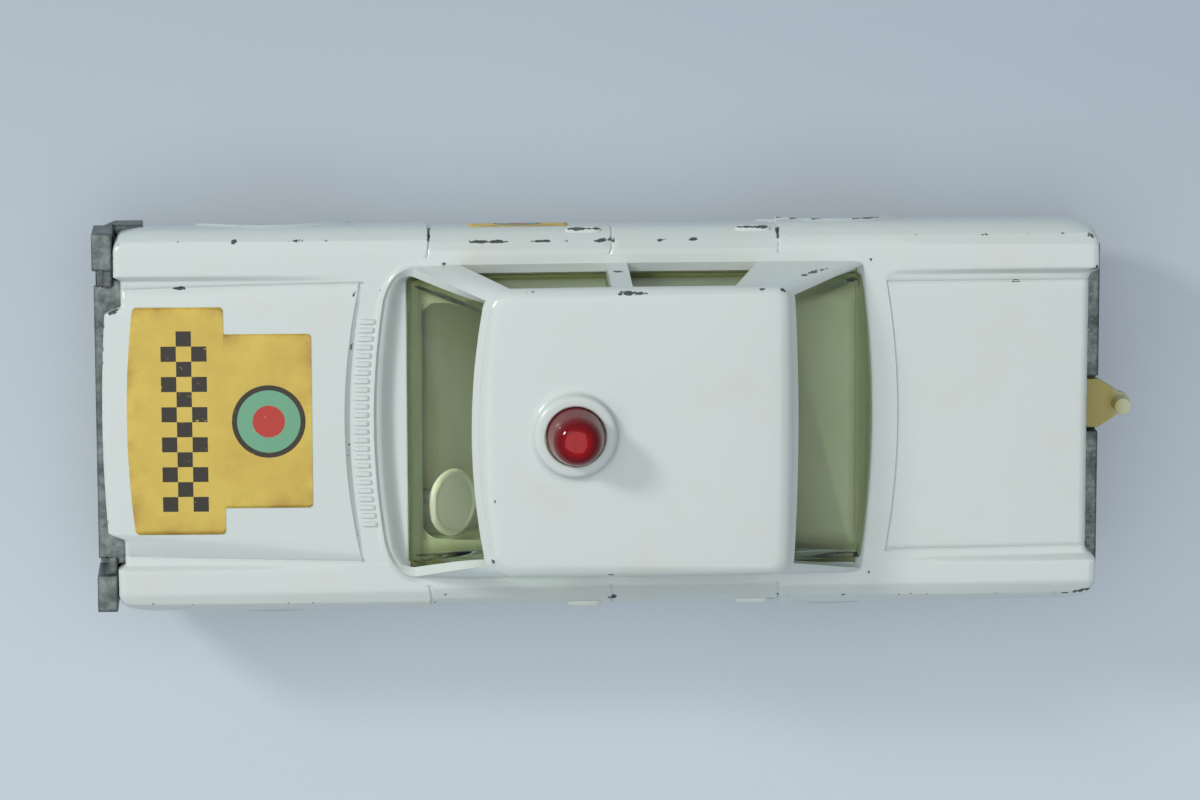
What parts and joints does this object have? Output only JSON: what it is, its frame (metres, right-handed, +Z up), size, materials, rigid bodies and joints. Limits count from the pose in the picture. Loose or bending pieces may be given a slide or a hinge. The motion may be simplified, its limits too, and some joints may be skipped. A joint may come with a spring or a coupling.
{
  "type": "die-cast toy car",
  "caption": "Pocket die-cast toy saloon in patrol livery: painted metal shell on a bare metal base, tinted windows, roof light, tow peg and free-rolling wheels.",
  "frame": {"origin": "on the ground under the middle of the whole length, tow tongue included", "axes": "+X forward, +Y to the car's left, +Z up"},
  "size_m": [0.0759, 0.0286, 0.0222],
  "materials": {
    "body_shell": "thick white enamel, chipped at the edges",
    "base_plate": "bare die-cast zinc, dull grey",
    "glazing": "clear moulding with a yellow-green tint",
    "interior": "aged ivory moulding",
    "steering_wheel": "aged ivory moulding",
    "dome_light": "clear red moulding",
    "decal_film": "aged yellow printed film",
    "axle_wire": "plain steel wire",
    "wheel": "black moulded plastic"
  },
  "bodies": {
    "car": {"body_shell": "body_shell", "base_plate": "base_plate", "glazing": "glazing", "interior": "interior", "steering_wheel": "steering_wheel", "dome_light": "dome_light", "bonnet_decal": "decal_film", "door_decal_left": "decal_film", "door_decal_right": "decal_film"},
    "front_axle": {"front_axle": "axle_wire"},
    "rear_axle": {"rear_axle": "axle_wire"},
    "front_left_wheel": {"front_left_wheel": "wheel"},
    "front_right_wheel": {"front_right_wheel": "wheel"},
    "rear_left_wheel": {"rear_left_wheel": "wheel"},
    "rear_right_wheel": {"rear_right_wheel": "wheel"}
  },
  "joints": [
    {"name": "front_axle_spin", "type": "hinge", "parent": "car", "child": "front_axle", "pos_m": [0.02509, 0, 0.0046], "axis": [0, 1, 0], "continuous": true},
    {"name": "rear_axle_spin", "type": "hinge", "parent": "car", "child": "rear_axle", "pos_m": [-0.01571, 0, 0.0046], "axis": [0, 1, 0], "continuous": true},
    {"name": "front_left_wheel_spin", "type": "hinge", "parent": "front_axle", "child": "front_left_wheel", "pos_m": [0.02509, 0.0114, 0.0046], "axis": [0, 1, 0], "continuous": true},
    {"name": "front_right_wheel_spin", "type": "hinge", "parent": "front_axle", "child": "front_right_wheel", "pos_m": [0.02509, -0.0114, 0.0046], "axis": [0, 1, 0], "continuous": true},
    {"name": "rear_left_wheel_spin", "type": "hinge", "parent": "rear_axle", "child": "rear_left_wheel", "pos_m": [-0.01571, 0.0114, 0.0046], "axis": [0, 1, 0], "continuous": true},
    {"name": "rear_right_wheel_spin", "type": "hinge", "parent": "rear_axle", "child": "rear_right_wheel", "pos_m": [-0.01571, -0.0114, 0.0046], "axis": [0, 1, 0], "continuous": true}
  ]
}
